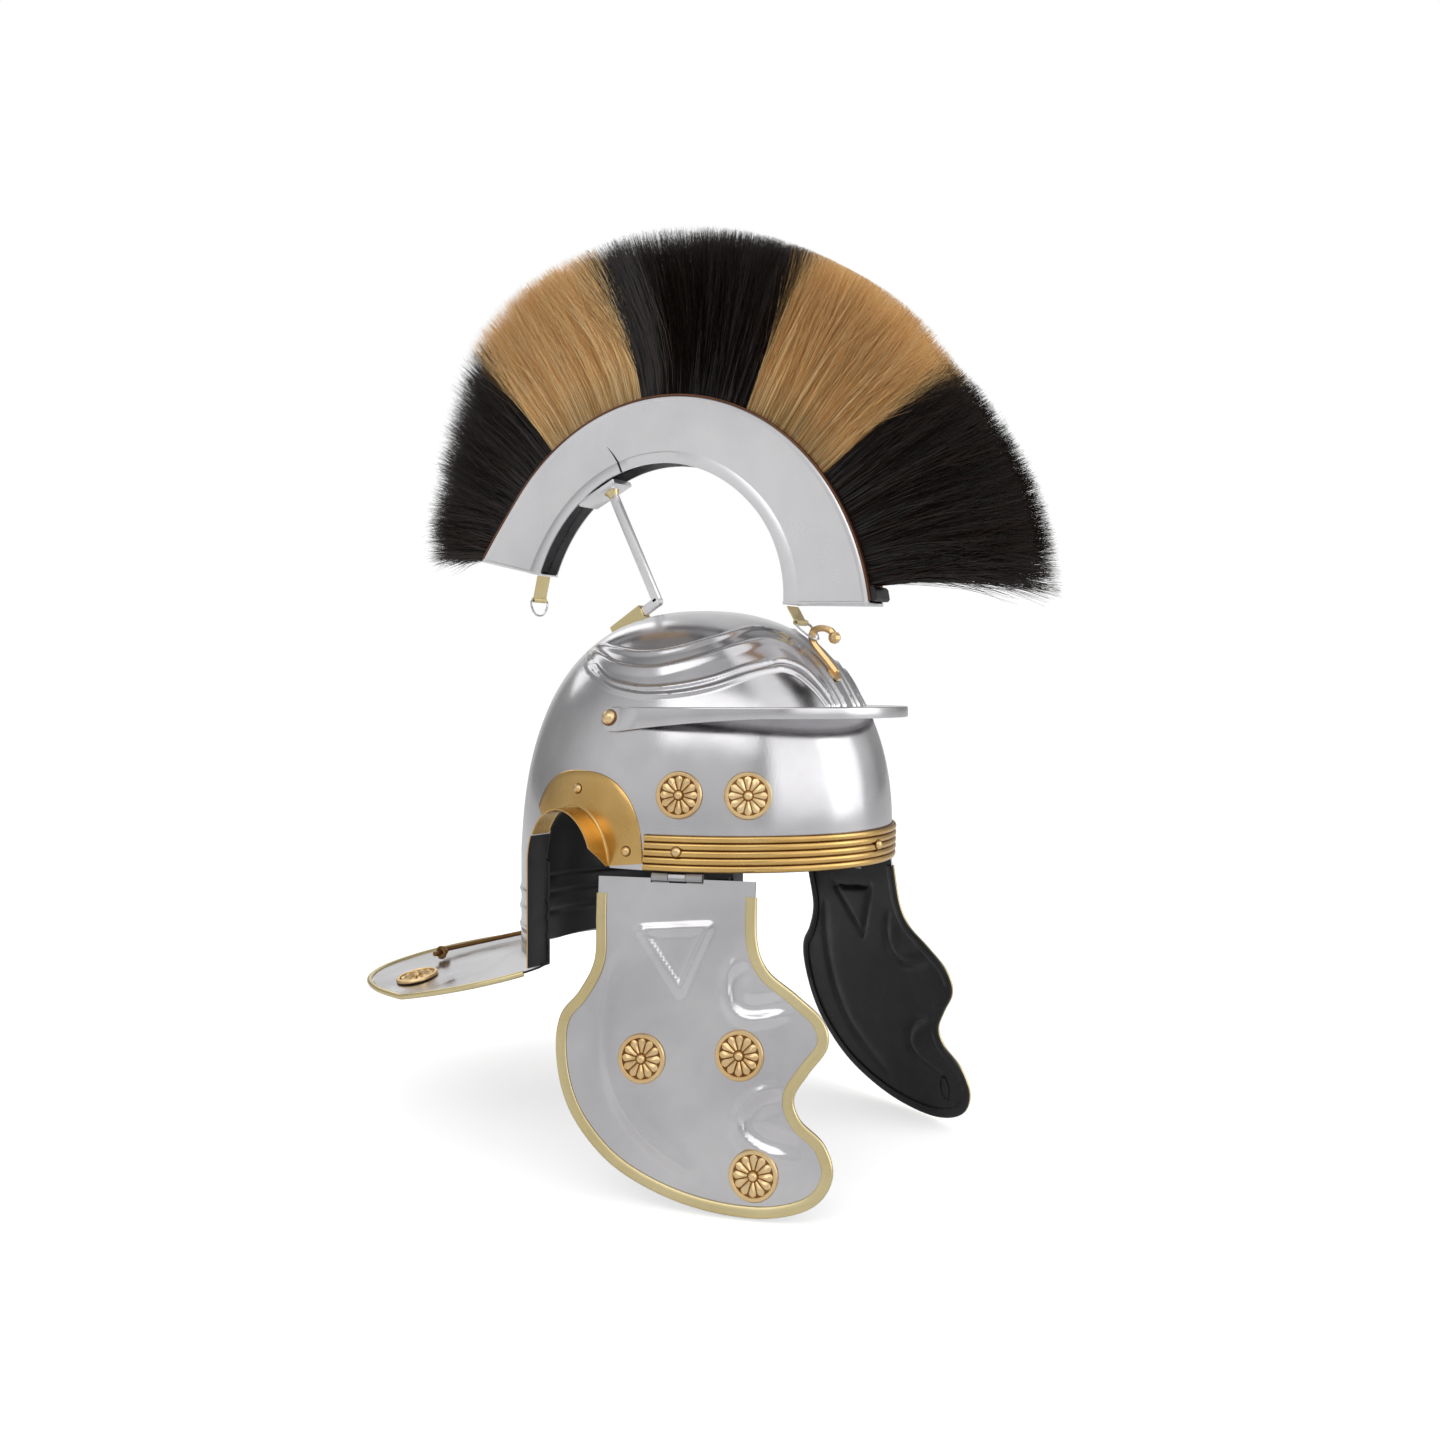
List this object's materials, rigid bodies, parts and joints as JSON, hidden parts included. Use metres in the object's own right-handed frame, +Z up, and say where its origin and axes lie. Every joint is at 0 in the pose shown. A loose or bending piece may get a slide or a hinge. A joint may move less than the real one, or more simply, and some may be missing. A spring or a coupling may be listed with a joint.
{
  "type": "roman legionary helmet",
  "caption": "Roman legionary helmet with a fore-and-aft hair crest, brow peak, ear guards, broad neck guard and hinged cheek guards.",
  "frame": {"origin": "the inner face of the crown, on the bowl's vertical axis, where the helmet sits on a head", "axes": "+X the wearer's left, -Y the front, +Z up"},
  "size_m": [0.2596, 0.4441, 0.5495],
  "materials": {
    "steel": "polished to satin",
    "brass": "polished, warm gold",
    "pale_brass": "polished, pale gold",
    "black_paint": "wooden strip painted satin black",
    "dark_hair": "brown-black natural hair",
    "tan_hair": "tan natural hair"
  },
  "bodies": {
    "helmet": {"band_rivet_front": "brass", "band_rivet_left": "brass", "band_rivet_right": "brass", "bowl": "steel", "brow_band": "brass", "crest_core": "black_paint", "crest_holder": "steel", "crest_socket": "brass", "ear_guard_left": "brass", "ear_guard_right": "brass", "ear_guard_rivet_front_left": "brass", "ear_guard_rivet_front_right": "brass", "ear_guard_rivet_top_left": "brass", "ear_guard_rivet_top_right": "brass", "front_hook": "brass", "front_ring": "steel", "front_strap": "pale_brass", "handle_eye_left": "brass", "handle_eye_right": "brass", "hinge_left": "steel", "hinge_right": "steel", "neck_binding": "pale_brass", "peak": "steel", "peak_rivet_left": "brass", "peak_rivet_right": "brass", "plume_front": "dark_hair", "plume_rear": "dark_hair", "plume_top": "dark_hair", "plume_upper_front": "tan_hair", "plume_upper_rear": "tan_hair", "rear_ring": "steel", "rear_strap": "pale_brass", "rosette_bowl_front_left": "brass", "rosette_bowl_front_right": "brass", "rosette_bowl_rear_left": "brass", "rosette_bowl_rear_right": "brass", "rosette_neck_left": "brass", "rosette_neck_right": "brass"},
    "cheek_right": {"cheek_guard_right": "steel", "cheek_binding_right": "pale_brass", "cheek_knuckles_right": "steel", "rosette_cheek_rear_right": "brass", "rosette_cheek_front_right": "brass", "rosette_cheek_lower_right": "brass"},
    "cheek_left": {"cheek_guard_left": "steel", "cheek_binding_left": "pale_brass", "cheek_knuckles_left": "steel", "rosette_cheek_rear_left": "brass", "rosette_cheek_front_left": "brass", "rosette_cheek_lower_left": "brass"},
    "handle": {"carrying_handle": "brass"}
  },
  "joints": [
    {"name": "cheek_hinge_right", "type": "hinge", "parent": "helmet", "child": "cheek_right", "pos_m": [-0.0901, -0.0497, -0.1465], "axis": [-0.3628, 0.9319, 0], "range_deg": [-20, 80]},
    {"name": "cheek_hinge_left", "type": "hinge", "parent": "helmet", "child": "cheek_left", "pos_m": [0.0901, -0.0497, -0.1465], "axis": [-0.3628, -0.9319, 0], "range_deg": [-20, 80]},
    {"name": "handle_swing", "type": "hinge", "parent": "helmet", "child": "handle", "pos_m": [0, 0.15904, -0.21544], "axis": [1, 0, 0], "range_deg": [0, 160]}
  ]
}
